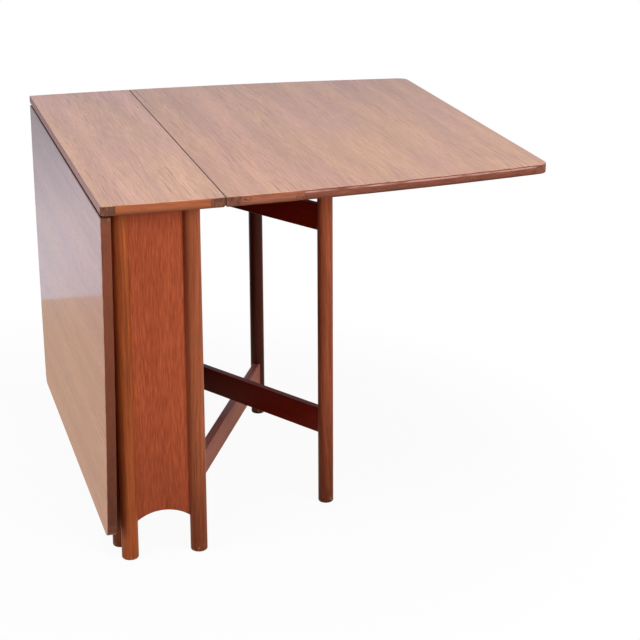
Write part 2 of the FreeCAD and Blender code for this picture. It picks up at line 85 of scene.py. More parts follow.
class Wire:
    """An output socket that takes part in arithmetic by adding Math nodes."""

    def __init__(self, graph: "Graph", socket: bpy.types.NodeSocket) -> None:
        """Keep the graph and the socket."""
        self.graph = graph
        self.socket = socket

    def _math(self, operation: str, first: "Wire | float", second: "Wire | float") -> "Wire":
        """Add one Math node on two values."""
        return self.graph.node("ShaderNodeMath", {"operation": operation}, {0: first, 1: second})

    def __add__(self, other: "Wire | float") -> "Wire":
        """Sum."""
        return self._math("ADD", self, other)

    __radd__ = __add__

    def __sub__(self, other: "Wire | float") -> "Wire":
        """Difference."""
        return self._math("SUBTRACT", self, other)

    def __rsub__(self, other: "Wire | float") -> "Wire":
        """Difference from a number."""
        return self._math("SUBTRACT", other, self)

    def __mul__(self, other: "Wire | float") -> "Wire":
        """Product."""
        return self._math("MULTIPLY", self, other)

    __rmul__ = __mul__

    def __truediv__(self, other: "Wire | float") -> "Wire":
        """Quotient."""
        return self._math("DIVIDE", self, other)

    def __pow__(self, other: "Wire | float") -> "Wire":
        """Power."""
        return self._math("POWER", self, other)

    def size(self) -> "Wire":
        """The value without its sign."""
        return self._math("ABSOLUTE", self, 0.0)

    def floor(self) -> "Wire":
        """The whole number below."""
        return self._math("FLOOR", self, 0.0)

    def larger(self, other: "Wire | float") -> "Wire":
        """The larger of two values."""
        return self._math("MAXIMUM", self, other)

    def rise(self, start: float, finish: float) -> "Wire":
        """A smooth step of the value.

        Args:
            start: The value at which the step is 0.
            finish: The value at which it is 1.

        Returns:
            The step, from 0 to 1.
        """
        settings = {"interpolation_type": "SMOOTHSTEP"}
        sockets = {"Value": self, "From Min": start, "From Max": finish}
        return self.graph.node("ShaderNodeMapRange", settings, sockets)


class Blend(Enum):
    """Ways to lay one colour over another."""

    COVER = "MIX"
    MULTIPLY = "MULTIPLY"


class Ray(Enum):
    """Kinds of rays that a shader can tell apart."""

    CAMERA = "Is Camera Ray"
    GLOSSY = "Is Glossy Ray"
    TRANSMISSION = "Is Transmission Ray"


class Graph:
    """A node tree that is filled by one method and by arithmetic on its wires."""

    MIX_SOCKETS = (0, 6, 7)
    MIX_COLOUR = 2

    def __init__(self, tree: bpy.types.NodeTree) -> None:
        """Empty a node tree and keep it."""
        self.tree = tree
        tree.nodes.clear()

    def node(self, kind: str, settings: dict | None = None, sockets: dict | None = None,
             output: int | str = 0) -> Wire:
        """Add one node, set it up and link it.

        Args:
            kind: The node's type.
            settings: Properties that are set first; "stops" fills a colour ramp.
            sockets: Values or wires for its input sockets; a colour is made opaque.
            output: The output socket that is wanted.

        Returns:
            The wire of that output.
        """
        made = self.tree.nodes.new(kind)
        for name, value in (settings or {}).items():
            if name == "stops":
                self._fill(made.color_ramp, value)
            else:
                setattr(made, name, value)
        for name, value in (sockets or {}).items():
            socket = made.inputs[name]
            if isinstance(value, Wire):
                self.tree.links.new(value.socket, socket)
            else:
                socket.default_value = (*value, 1.0) if socket.type == "RGBA" else value
        return Wire(self, made.outputs[output]) if made.outputs else Wire(self, None)

    @staticmethod
    def _fill(ramp: bpy.types.ColorRamp, stops: list[tuple[float, Colour]]) -> None:
        """Give a colour ramp its stops.

        Args:
            ramp: The ramp.
            stops: The place and the colour of each stop.
        """
        while len(ramp.elements) < len(stops):
            ramp.elements.new(1.0)
        for element, (place, colour) in zip(ramp.elements, stops):
            element.position = place
            element.color = (*colour, 1.0)

    def mix(self, share: Wire | float, first: Wire | Colour, second: Wire | Colour,
            way: Blend = Blend.COVER) -> Wire:
        """Blend two colours by a share.

        Args:
            share: How much of the second colour shows.
            first: The colour at 0.
            second: The colour at 1.
            way: How the second is laid over the first.

        Returns:
            The blended colour.
        """
        settings = {"data_type": "RGBA", "blend_type": way.value}
        sockets = dict(zip(self.MIX_SOCKETS, (share, first, second)))
        return self.node("ShaderNodeMix", settings, sockets, self.MIX_COLOUR)

    def noise(self, place: Wire, scale: Triple, detail: float, roughness: float = 0.5) -> Wire:
        """Noise on stretched coordinates.

        Args:
            place: The coordinates.
            scale: Features per metre along each axis.
            detail: Octaves of finer detail.
            roughness: Strength of that detail.

        Returns:
            The noise, about 0.5.
        """
        stretched = self.node("ShaderNodeMapping", None, {"Vector": place, "Scale": scale})
        sockets = {"Vector": stretched, "Scale": 1.0, "Detail": detail, "Roughness": roughness}
        return self.node("ShaderNodeTexNoise", None, sockets)

    def axes(self, place: Wire) -> tuple[Wire, Wire, Wire]:
        """Split a vector.

        Args:
            place: The vector.

        Returns:
            Its three coordinates, each as a wire.
        """
        split = self.node("ShaderNodeSeparateXYZ", None, {"Vector": place})
        outputs = split.socket.node.outputs
        return Wire(self, outputs[0]), Wire(self, outputs[1]), Wire(self, outputs[2])

    def place(self) -> Wire:
        """Object coordinates, in which every pattern lies."""
        return self.node("ShaderNodeTexCoord", None, None, "Object")

    def moved(self, place: Wire, offset: dict[str, Wire]) -> Wire:
        """Coordinates with an offset added along the axes that it names."""
        step = self.node("ShaderNodeCombineXYZ", None, offset)
        return self.node("ShaderNodeVectorMath", {"operation": "ADD"}, {0: place, 1: step})

    def ray(self, kind: Ray) -> Wire:
        """Whether the traced ray is of one kind."""
        return self.node("ShaderNodeLightPath", None, None, kind.value)

    def blend(self, share: Wire, first: Wire, second: Wire) -> Wire:
        """Two shaders, mixed by the share of the second."""
        return self.node("ShaderNodeMixShader", None, {0: share, 1: first, 2: second})

    def glow(self, colour: Wire | Colour) -> Wire:
        """A shader that shines evenly with a colour."""
        return self.node("ShaderNodeEmission", None, {"Color": colour, "Strength": 1.0})


def blank_material(name: str) -> tuple[bpy.types.Material, Graph]:
    """Make a material without nodes.

    Args:
        name: The material's name.

    Returns:
        The material and its empty graph.
    """
    material = bpy.data.materials.new(name)
    material.use_nodes = True
    return material, Graph(material.node_tree)


class Grain(Enum):
    """Turns that lay a piece's grain along the local Y axis."""

    ALONG_Y = (0.0, 0.0, 0.0)
    ALONG_X = (0.0, 0.0, math.pi / 2)
    ALONG_Z = (-math.pi / 2, 0.0, 0.0)
    HANGING = (0.0, math.pi / 2, 0.0)
    NEAR_GATE = (0.0, 0.0, math.radians(149.9))
    FAR_GATE = (0.0, 0.0, math.radians(26.6))


@dataclass(frozen=True)
class Wood:
    """A lacquered wood: its colours, the strength of its figure and its gloss."""

    name: str
    grain: Grain
    dark: Colour
    light: Colour
    pore: Colour
    band: float = 0.5
    streak: float = 0.6
    fibre: float = 0.7
    lines: float = 0.3
    pores: float = 0.3
    roughness: float = 0.38
    specular: float = 0.4
    coat: float = 0.0
    coat_roughness: float = 0.2
    relief: float = 0.16
    shift: Triple = (0.0, 0.0, 0.0)
    lean: float = 0.0

    SWAY = (2.4, 0.55, 2.4)
    SWAY_WIDTH = 0.022
    BAND = (18.0, 1.3, 18.0)
    STREAK = (240.0, 3.4, 240.0)
    FIBRE = (820.0, 15.0, 820.0)
    LINE = (430.0, 6.0, 430.0)
    LINE_RISE = (0.59, 0.67)
    FLUSH = (15.0, 1.7, 15.0)
    FLUSH_RISE = (0.40, 0.62)
    FLUSH_LEAST = 0.25
    PORE = (980.0, 46.0, 980.0)
    PORE_RISE = (0.60, 0.70)
    RELIEF_DEPTH = 0.0004
    TONE_STOPS = (0.2, 0.5, 0.8)
    STREAK_GLOSS = 0.10
    PORE_GLOSS = 0.06
    FIBRE_HEIGHT = 0.5
    LINE_HEIGHT = 0.5

    def build(self) -> bpy.types.Material:
        """Make the material.

        Returns:
            A material whose pattern lies in Object coordinates.
        """
        material, graph = blank_material(self.name)
        place = graph.place()
        laid = graph.node("ShaderNodeMapping", None, {
            "Vector": place, "Location": self.shift, "Rotation": self.grain.value})
        laid = self.lay(graph, laid)
        waved = self.wave(graph, laid)
        bands = graph.noise(waved, self.BAND, detail=1.0)
        streaks = graph.noise(waved, self.STREAK, detail=3.0)
        fibres = graph.noise(waved, self.FIBRE, detail=2.0)
        flush = graph.noise(waved, self.FLUSH, detail=2.0).rise(*self.FLUSH_RISE)
        drawn = self.FLUSH_LEAST + (1 - self.FLUSH_LEAST) * flush
        lines = graph.noise(waved, self.LINE, detail=2.0).rise(*self.LINE_RISE) * drawn
        pores = graph.noise(waved, self.PORE, detail=1.0).rise(*self.PORE_RISE)
        tone = (NOISE_MEAN + self.band * (bands - NOISE_MEAN) + self.streak * (streaks - NOISE_MEAN)
                + self.fibre * (fibres - NOISE_MEAN))
        middle = tuple((dark + light) / 2 for dark, light in zip(self.dark, self.light))
        stops = list(zip(self.TONE_STOPS, (self.dark, middle, self.light)))
        colour = graph.node("ShaderNodeValToRGB", {"stops": stops}, {"Fac": tone})
        colour = graph.mix((lines * self.lines).larger(pores * self.pores), colour, self.pore)
        colour = self.mark(graph, laid, place, colour)
        gloss = self.roughness + self.STREAK_GLOSS * (streaks - NOISE_MEAN) + self.PORE_GLOSS * pores
        height = self.FIBRE_HEIGHT * fibres - self.LINE_HEIGHT * lines - pores
        bump = graph.node("ShaderNodeBump", None, {
            "Height": height, "Strength": self.relief, "Distance": self.RELIEF_DEPTH})
        shader = graph.node("ShaderNodeBsdfPrincipled", None, {
            "Base Color": colour, "Roughness": gloss, "Normal": bump,
            "Specular IOR Level": self.specular, "Coat Weight": self.coat,
            "Coat Roughness": self.coat_roughness})
        graph.node("ShaderNodeOutputMaterial", None, {"Surface": shader})
        return material

    def wave(self, graph: Graph, laid: Wire) -> Wire:
        """Let the grain wander a little across its run.

        Args:
            graph: The material's graph.
            laid: Coordinates with the grain along Y.

        Returns:
            The same coordinates, swaying across the grain.
        """
        sway = graph.noise(laid, self.SWAY, detail=2.0)
        _, along, _ = graph.axes(laid)
        aside = (sway - NOISE_MEAN) * self.SWAY_WIDTH + along * self.lean
        return graph.moved(laid, {"X": aside, "Z": aside})

    def lay(self, graph: Graph, laid: Wire) -> Wire:
        """Hook for a finish that is laid in strips; plain wood leaves the coordinates alone."""
        return laid

    def mark(self, graph: Graph, laid: Wire, place: Wire, colour: Wire) -> Wire:
        """Hook for marks that sit on top of the grain; plain wood has none."""
        return colour


@dataclass(frozen=True)
class BoardOutline:
    """The bowed outline of the whole top, for marks that follow its ends."""

    half_length: float = 0.5
    half_span: float = 0.768
    bow: float = 0.064
    hinge_x: float = 0.1045
    hinge_z: float = 0.7195

    @property
    def bow_radius(self) -> float:
        """The radius of the arc that bows both ends."""
        return (self.half_span**2 + self.bow**2) / (2 * self.bow)

    def across(self, graph: Graph, place: Wire, hanging: bool) -> tuple[Wire, Wire]:
        """Coordinates on the spread-out top.

        Args:
            graph: The material's graph.
            place: Object coordinates.
            hanging: Whether the piece belongs to the hanging leaf.

        Returns:
            The distance from the middle of the top, and the distance along the hinge lines.
        """
        x, y, z = graph.axes(place)
        return (self.hinge_x + self.hinge_z) - z if hanging else x, y

    def inset(self, graph: Graph, place: Wire, hanging: bool) -> Wire:
        """Measure inwards from the bowed end of the top.

        Args:
            graph: The material's graph.
            place: Object coordinates.
            hanging: Whether the piece belongs to the hanging leaf.

        Returns:
            How far a point lies inside that end.
        """
        x, y = self.across(graph, place, hanging)
        reach = y.size() + (self.bow_radius - self.half_length)
        return self.bow_radius - (x * x + reach * reach) ** 0.5


OUTLINE = BoardOutline()


@dataclass(frozen=True)
class Veneer(Wood):
    """Sliced veneer, laid as leaves side by side, lightened at its edges by rubbing and a painted
    highlight, and lightly scratched by use.
    """

    hanging: bool = False
    leaf_width: float = 0.163
    # Lighter colour of the edges: partly rubbed wear, partly a painted highlight on their rounding.
    highlight_and_wear: Colour = screen(222, 172, 138)
    speck: Colour = screen(92, 50, 38)
    golden: Colour = screen(255, 245, 216)
    rosy: Colour = screen(252, 236, 240)
    seam_grime: Colour = screen(52, 28, 20)

    WEAR_AND_HIGHLIGHT_WIDTH = 0.0035
    WEAR_AND_HIGHLIGHT_SHARE = 0.6
    BROKEN = (45.0, 45.0, 45.0)
    BROKEN_RISE = (0.35, 0.62)
    LEAF_SLIDE = 3.7
    SCRATCH = (9.0, 420.0, 420.0)
    SCRATCH_RISE = (0.72, 0.76)
    SCRATCH_SHARE = 0.08
    DRIFT = (7.0, 2.2, 7.0)
    DRIFT_RISE = (0.38, 0.62)
    SEAM = 0.1155
    SEAM_WIDTH = (0.0011, 0.0024)
    SEAM_SHARE = 0.8
    SPECK = (150.0, 150.0, 150.0)
    SPECK_RISE = (0.80, 0.825)
    SPECK_SHARE = 0.3

    def lay(self, graph: Graph, laid: Wire) -> Wire:
        """Slide each leaf of veneer along the grain, so that neighbours differ.

        Args:
            graph: The material's graph.
            laid: Coordinates with the grain along Y.

        Returns:
            The coordinates on the leaf.
        """
        x, _, _ = graph.axes(laid)
        number = (x / self.leaf_width).floor()
        return graph.moved(laid, {"Y": number * self.LEAF_SLIDE})

    def mark(self, graph: Graph, laid: Wire, place: Wire, colour: Wire) -> Wire:
        """Let the tone drift, lighten the board's edges with rubbing and a painted highlight, and add
        scratches, seam grime and specks.

        Args:
            graph: The material's graph.
            laid: Coordinates with the grain along Y.
            place: Object coordinates.
            colour: The colour of the grain.

        Returns:
            The colour with its marks.
        """
        end = OUTLINE.inset(graph, place, self.hanging)
        across, _ = OUTLINE.across(graph, place, self.hanging)
        side = OUTLINE.half_span - across.size()
        # Edge mask: rubbed wear together with a painted highlight along the rounded edges.
        edge_wear_and_highlight = (1 - end.rise(0.0, self.WEAR_AND_HIGHLIGHT_WIDTH)).larger(1 - side.rise(0.0, self.WEAR_AND_HIGHLIGHT_WIDTH))
        broken = graph.noise(place, self.BROKEN, detail=2.0).rise(*self.BROKEN_RISE)
        scratched = graph.noise(laid, self.SCRATCH, detail=2.0).rise(*self.SCRATCH_RISE)
        worn_and_highlight = (edge_wear_and_highlight * broken * self.WEAR_AND_HIGHLIGHT_SHARE).larger(scratched * self.SCRATCH_SHARE)
        drift = graph.noise(laid, self.DRIFT, detail=2.0).rise(*self.DRIFT_RISE)
        colour = graph.mix(1.0, colour, graph.mix(drift, self.rosy, self.golden), Blend.MULTIPLY)
        seam = 1 - (across.size() - self.SEAM).size().rise(*self.SEAM_WIDTH)
        colour = graph.mix(seam * self.SEAM_SHARE, colour, self.seam_grime)
        specks = graph.noise(place, self.SPECK, detail=0.0).rise(*self.SPECK_RISE)
        colour = graph.mix(worn_and_highlight, colour, self.highlight_and_wear)
        return graph.mix(specks * self.SPECK_SHARE, colour, self.speck)


@dataclass(frozen=True)
class SideLipping(Wood):
    """A solid strip along a hinge line, whose sawn ends show dark end grain."""

    hanging: bool = False
    end_grain: Colour = screen(76, 45, 33)
    end_light: Colour = screen(116, 73, 53)
    shown_to: float = 1.0

    END_DEPTH = (0.0011, 0.0021)
    SHOWN_EDGE = 0.0015
    RING = (260.0, 20.0, 90.0)
    RING_RISE = (0.36, 0.66)

    def mark(self, graph: Graph, laid: Wire, place: Wire, colour: Wire) -> Wire:
        """Darken the sawn ends, with growth rings across them.

        Args:
            graph: The material's graph.
            laid: Coordinates with the grain along Y.
            place: Object coordinates.
            colour: The colour of the grain.

        Returns:
            The colour with its marks.
        """
        inset = OUTLINE.inset(graph, place, self.hanging)
        across, _ = OUTLINE.across(graph, place, self.hanging)
        shown = 1 - across.size().rise(self.shown_to, self.shown_to + self.SHOWN_EDGE)
        cut = (1 - inset.rise(*self.END_DEPTH)) * shown
        rings = graph.noise(place, self.RING, detail=3.0, roughness=0.6).rise(*self.RING_RISE)
        ends = graph.mix(rings, self.end_grain, self.end_light)
        return graph.mix(cut, colour, ends)


@dataclass(frozen=True)
class SplicedLipping(Wood):
    """A strip bent along a bowed end, spliced from lengths that differ in tone."""

    splices: tuple[float, ...] = ()
    curls: tuple[tuple[float, float], ...] = ()
    deeper: Colour = screen(214, 203, 206)
    curl_dark: Colour = screen(62, 30, 20)
    # Pale colour of a painted highlight along the arris, broken by noise.
    highlight_and_wear: Colour = screen(196, 152, 150)
    arris_highlight_share: float = 0.0
    # Painted shade, multiplied over the lower part of the edge.
    under: Colour = screen(176, 164, 160)

    ARRIS_START = (0.7236, 0.7254)
    ARRIS_END = (0.7270, 0.7282)
    UNDERSIDE_SHADE = (0.7108, 0.7200)
    JOINT = 0.0006
    GLUE_SHARE = 0.5
    BROKEN = (22.0, 22.0, 90.0)
    BROKEN_RISE = (0.3, 0.6)
    RIM_SHARE = 0.4
    CURL_SIZE = (0.006, 0.016)
    CURL_PITCH = 0.0064
    CURL_SQUASH = 1.7
    CURL_LINE = (0.08, 0.34)
    CURL_SHARE = 0.75
    WOBBLE = (120.0, 120.0, 120.0)
    WOBBLE_SIZE = 0.012

    def mark(self, graph: Graph, laid: Wire, place: Wire, colour: Wire) -> Wire:
        """Paint shade on the underside, paint a highlight along the arris, tone the spliced lengths, and
        draw glue lines and curls.

        Args:
            graph: The material's graph.
            laid: Coordinates with the grain along Y.
            place: Object coordinates.
            colour: The colour of the grain.

        Returns:
            The colour with its marks.
        """
        x, _, z = graph.axes(place)
        _, y, _ = graph.axes(laid)
        # Painted shade: the lower part of the edge is darkened.
        colour = graph.mix(1 - z.rise(*self.UNDERSIDE_SHADE), colour, self.under, Blend.MULTIPLY)
        for station in self.splices:
            after = y.rise(station - self.JOINT, station + self.JOINT)
            colour = graph.mix(after, colour, self.deeper, Blend.MULTIPLY)
            line = 1 - (y - station).size().rise(self.JOINT, 2 * self.JOINT)
            colour = graph.mix(line * self.GLUE_SHARE, colour, self.curl_dark)
            broken = graph.noise(place, self.BROKEN, detail=2.0).rise(*self.BROKEN_RISE)
            rim = z.rise(*self.ARRIS_END)
            arris = z.rise(*self.ARRIS_START) * (1 - rim)
            # Painted highlight along the arris, past each splice.
            colour = graph.mix(arris * after * broken * self.arris_highlight_share, colour, self.highlight_and_wear)
            colour = graph.mix(rim * after * self.RIM_SHARE, colour, self.curl_dark)
        if not self.curls:
            return colour
        wobble = graph.noise(place, self.WOBBLE, detail=2.0) - NOISE_MEAN
        for middle, level in self.curls:
            flat = x - middle
            tall = (z - level) * self.CURL_SQUASH
            away = (flat * flat + tall * tall) ** 0.5 + wobble * self.WOBBLE_SIZE
            turns = away / self.CURL_PITCH
            ring = 1 - (turns - turns.floor() - 0.5).size().rise(*self.CURL_LINE)
            shown = 1 - away.rise(*self.CURL_SIZE)
            colour = graph.mix(ring * shown * self.CURL_SHARE, colour, self.curl_dark)
        return colour


@dataclass(frozen=True)
class Standing(Wood):
    """Wood near the floor: darkened lower down with painted shade, and grubby and scuffed at its foot."""

    low_shade_share: float = 1.0
    low_shade_height: float = 0.26
    painted_low_shade: Colour = screen(200, 190, 184)
    scuffed: Colour = screen(196, 146, 108)
    grime: Colour = screen(58, 30, 20)

    SCUFF = (210.0, 210.0, 150.0)
    SCUFF_RISE = (0.60, 0.68)
    SCUFF_HEIGHT = 0.022
    SCUFF_SHARE = 0.6
    GRIME = (38.0, 38.0, 20.0)
    GRIME_HEIGHT = 0.05
    GRIME_SHARE = 0.3

    def mark(self, graph: Graph, laid: Wire, place: Wire, colour: Wire) -> Wire:
        """Darken the lower part with painted shade, darken the last stretch above the floor with grime and
        chip the foot pale.

        Args:
            graph: The material's graph.
            laid: Coordinates with the grain along Y.
            place: Object coordinates.
            colour: The colour of the grain.

        Returns:
            The colour with its marks.
        """
        _, _, z = graph.axes(place)
        # Painted shade: darker lower down, as the light falls off towards the floor.
        below = (1 - z.rise(0.0, self.low_shade_height)) * self.low_shade_share
        colour = graph.mix(below, colour, self.painted_low_shade, Blend.MULTIPLY)
        spots = graph.noise(place, self.SCUFF, detail=2.0).rise(*self.SCUFF_RISE)
        low = 1 - z.rise(0.0, self.SCUFF_HEIGHT)
        dirty = (1 - z.rise(0.0, self.GRIME_HEIGHT)) * graph.noise(place, self.GRIME, detail=3.0)
        colour = graph.mix(dirty * self.GRIME_SHARE, colour, self.grime)
        return graph.mix(spots * low * self.SCUFF_SHARE, colour, self.scuffed)


@dataclass(frozen=True)
class Flecked(Standing):
    """Veneer cut across the rays, with short flecks instead of long fibres."""

    FIBRE = (620.0, 34.0, 620.0)


@dataclass(frozen=True)
class ShadedRail(Wood):
    """Wood darkened with painted shade at the inner end of a swung rail, lighter towards the outer end."""

    shade_tint: Colour = screen(126, 118, 118)
    lit_tint: Colour = screen(255, 236, 214)

    SHADE_SPAN = (0.11, 0.32)

    def mark(self, graph: Graph, laid: Wire, place: Wire, colour: Wire) -> Wire:
        """Paint the shade dark at the inner end and let it lighten outwards.

        Args:
            graph: The material's graph.
            laid: Coordinates with the grain along Y.
            place: Object coordinates.
            colour: The colour of the grain.

        Returns:
            The colour with its marks.
        """
        x, _, _ = graph.axes(place)
        # Painted shade: darkest at the inner end, under the table.
        tint = graph.mix(x.size().rise(*self.SHADE_SPAN), self.shade_tint, self.lit_tint)
        return graph.mix(1.0, colour, tint, Blend.MULTIPLY)


@dataclass(frozen=True)
class Brass:
    """Dull brass with a brown film and fine scratches."""

    name: str
    clean: Colour = screen(196, 164, 104)
    film: Colour = screen(128, 92, 52)
    roughness: float = 0.36

    FILM = (55.0, 55.0, 55.0)
    FILM_RISE = (0.38, 0.66)
    FILM_SHARE = 0.8
    FILM_GLOSS = 0.18
    SCRATCH = (900.0, 60.0, 900.0)
    SCRATCH_GLOSS = 0.1
    SCRATCH_STRENGTH = 0.12
    SCRATCH_DEPTH = 0.0002

    def build(self) -> bpy.types.Material:
        """Make the material.

        Returns:
            A metal whose film and scratches lie in Object coordinates.
        """
        material, graph = blank_material(self.name)
        place = graph.place()
        film = graph.noise(place, self.FILM, detail=4.0, roughness=0.6).rise(*self.FILM_RISE)
        scratch = graph.noise(place, self.SCRATCH, detail=2.0)
        colour = graph.mix(film * self.FILM_SHARE, self.clean, self.film)
        gloss = self.roughness + self.FILM_GLOSS * film + self.SCRATCH_GLOSS * (scratch - NOISE_MEAN)
        bump = graph.node("ShaderNodeBump", None, {
            "Height": scratch, "Strength": self.SCRATCH_STRENGTH, "Distance": self.SCRATCH_DEPTH})
        shader = graph.node("ShaderNodeBsdfPrincipled", None, {
            "Base Color": colour, "Roughness": gloss, "Normal": bump, "Metallic": 1.0})
        graph.node("ShaderNodeOutputMaterial", None, {"Surface": shader})
        return material


def dress(node: str, material: bpy.types.Material) -> None:
    """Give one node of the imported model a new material.

    Args:
        node: The node's name.
        material: Its finish.
    """
    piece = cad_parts[node]
    for slot in piece.material_slots:
        slot.material = material
    LOG.info("%s: %s", node, material.name)


def dress_all(finishes: dict[str, Wood]) -> None:
    """Build each finish once and give it to its nodes.

    Args:
        finishes: The finish of each node; nodes may share one.
    """
    made: dict[str, bpy.types.Material] = {}
    for node, finish in finishes.items():
        if finish.name not in made:
            made[finish.name] = finish.build()
        dress(node, made[finish.name])


@dataclass
class TableTop:
    """The centre board and both leaves: veneer, lippings and the backs of the boards."""

    veneer_dark: Colour = screen(140, 86, 61)
    veneer_light: Colour = screen(190, 137, 105)
    centre_dark: Colour = screen(147, 95, 76)
    centre_light: Colour = screen(199, 148, 124)
    veneer_pore: Colour = screen(124, 54, 28)

    def veneers(self) -> dict[str, Wood]:
        """Choose the veneers.

        Returns:
            The finish of each veneered face.
        """
        look = {"pore": self.veneer_pore, "roughness": 0.4, "specular": 0.5, "coat": 0.45,
                "band": 0.85, "streak": 0.4, "fibre": 1.2, "lines": 1.1}
        leaf = {"dark": self.veneer_dark, "light": self.veneer_light, **look}
        centre = {"dark": self.centre_dark, "light": self.centre_light, **look}
        return {
            "centre_veneer": Veneer("centre_veneer_wood", Grain.ALONG_Y, coat_roughness=0.06,
                                    shift=(0.31, 0.0, 0.0), **centre),
            "right_leaf_veneer": Veneer("right_veneer_wood", Grain.ALONG_Y, coat_roughness=0.06,
                                        shift=(1.27, 0.4, 0.0), **leaf),
            "left_leaf_veneer": Veneer("left_veneer_wood", Grain.HANGING, coat_roughness=0.1,
                                       relief=0.55, shift=(2.11, 0.9, 0.0), hanging=True, **leaf),
        }

    def lippings(self) -> dict[str, Wood]:
        """Choose the woods of the edges.

        Returns:
            The finish of each solid strip at a board's edge.
        """
        side = {"dark": screen(134, 72, 48), "light": screen(172, 104, 74), "pore": screen(88, 44, 30)}
        end = {"dark": screen(125, 64, 38), "light": screen(170, 98, 61), "pore": screen(84, 40, 26)}
        worn_and_highlight = {"dark": screen(114, 64, 46), "light": screen(162, 98, 73), "pore": screen(66, 32, 22),
                "lines": 0.5, "streak": 0.9}
        corner = {"dark": screen(96, 54, 44), "light": screen(132, 80, 66), "pore": screen(64, 32, 24)}
        drop = {"dark": screen(89, 45, 30), "light": screen(124, 67, 47), "pore": screen(62, 30, 22)}
        shaded = {"dark": screen(82, 42, 28), "light": screen(116, 66, 46), "pore": screen(54, 26, 18)}
        return {
            "centre_left_lipping": SideLipping("centre_side_wood", Grain.ALONG_Y, **side),
            "centre_right_lipping": SideLipping(
                "centre_side_wood_b", Grain.ALONG_Y, shift=(0.4, 0.0, 0.0), **side),
            "centre_end_lippings": SplicedLipping("centre_end_wood", Grain.ALONG_X, **end),
            "right_leaf_inner_lipping": SideLipping(
                "right_inner_wood", Grain.ALONG_Y, shift=(0.8, 0.0, 0.0), **side),
            "right_leaf_outer_lipping": Wood(
                "right_outer_wood", Grain.ALONG_Y, shift=(1.1, 0.0, 0.0), **corner),
            "right_leaf_end_lippings": SplicedLipping(
                "right_end_wood", Grain.ALONG_X, splices=(0.265,),
                curls=((0.151, 0.722), (0.258, 0.717)), arris_highlight_share=0.75, **worn_and_highlight),
            "left_leaf_inner_lipping": SideLipping(
                "left_inner_wood", Grain.HANGING, hanging=True, shown_to=0.124,
                shift=(1.6, 0.0, 0.0), **drop),
            "left_leaf_outer_lipping": Wood(
                "left_outer_wood", Grain.HANGING, shift=(1.9, 0.0, 0.0), **shaded),
            "left_leaf_end_lippings": Standing(
                "left_end_wood", Grain.ALONG_Z, low_shade_share=0.9, low_shade_height=0.5, **drop),
        }

    def backs(self) -> dict[str, Wood]:
        """Choose the plain woods under the boards.

        Returns:
            The finish of the boards' backs and of the gate stops under them.
        """
        back = {"dark": screen(112, 66, 44), "light": screen(158, 102, 72), "pore": screen(80, 44, 30),
                "roughness": 0.5, "specular": 0.3}
        block = {"dark": screen(96, 48, 32), "light": screen(140, 80, 54), "pore": screen(64, 30, 22),
                 "roughness": 0.45, "specular": 0.3}
        return {
            "centre_core": Wood("centre_back", Grain.ALONG_Y, **back),
            "right_leaf_core": Wood("right_back", Grain.ALONG_Y, shift=(0.7, 0.0, 0.0), **back),
            "left_leaf_core": Wood("left_back", Grain.HANGING, shift=(1.4, 0.0, 0.0), **back),
            "right_leaf_gate_stops": Wood("right_stop_wood", Grain.ALONG_Y, **block),
            "left_leaf_gate_stops": Wood("left_stop_wood", Grain.ALONG_Y, shift=(0.2, 0.0, 0.0), **block),
        }

    def dress(self) -> None:
        """Dress every board."""
        for finishes in (self.veneers(), self.lippings(), self.backs()):
            dress_all(finishes)


@dataclass
class Base:
    """The two end frames, the long rails, the bearers and the dowels."""

    def finishes(self) -> dict[str, Wood]:
        """Choose the woods of the base.

        Returns:
            The finish of each piece.
        """
        panel = {"dark": screen(141, 64, 38), "light": screen(180, 91, 58), "pore": screen(104, 40, 24),
                 "roughness": 0.44, "specular": 0.2, "band": 0.45, "streak": 0.4, "fibre": 1.5,
                 "lines": 0.3, "low_shade_share": 0.5, "low_shade_height": 0.34}
        gold = {"dark": screen(120, 57, 27), "light": screen(178, 95, 51), "pore": screen(92, 42, 20),
                "roughness": 0.36, "specular": 0.2, "lines": 0.5, "streak": 1.0, "lean": 0.012}
        red = {"dark": screen(126, 63, 38), "light": screen(172, 99, 65), "pore": screen(88, 40, 24),
               "roughness": 0.38, "specular": 0.2, "lines": 0.5, "streak": 1.0, "lean": -0.015}
        hidden = {"dark": screen(92, 50, 32), "light": screen(142, 88, 58), "pore": screen(64, 34, 22),
                  "roughness": 0.5, "specular": 0.25}
        finishes = {
            "near_end_panel": Flecked("near_panel_wood", Grain.ALONG_Z, **panel),
            "far_end_panel": Flecked("far_panel_wood", Grain.ALONG_Z, shift=(0.6, 0.0, 0.0), **panel),
            "near_left_leg": Standing("near_left_leg_wood", Grain.ALONG_Z, low_shade_share=0.0, **gold),
            "near_right_leg": Standing("near_right_leg_wood", Grain.ALONG_Z, shift=(0.3, 0.7, 0.0), **red),
            "far_left_leg": Standing("far_left_leg_wood", Grain.ALONG_Z, shift=(0.9, 0.2, 0.0), **red),
            "far_right_leg": Standing("far_right_leg_wood", Grain.ALONG_Z, shift=(1.2, 0.5, 0.0), **gold),
            "leg_dowels": Wood("dowel_wood", Grain.ALONG_Z, **hidden),
        }
        rail = Wood("long_rail_wood", Grain.ALONG_Y, **hidden)
        bearer = Wood("bearer_wood", Grain.ALONG_X, shift=(0.5, 0.0, 0.0), **hidden)
        finishes.update({node: rail for node in ("lower_stretcher", "upper_rail")})
        finishes.update({f"{end}_{level}_bearer": bearer
                         for end, level in product(("near", "far"), ("lower", "upper"))})
        return finishes

    def dress(self) -> None:
        """Dress every piece of the base."""
        dress_all(self.finishes())


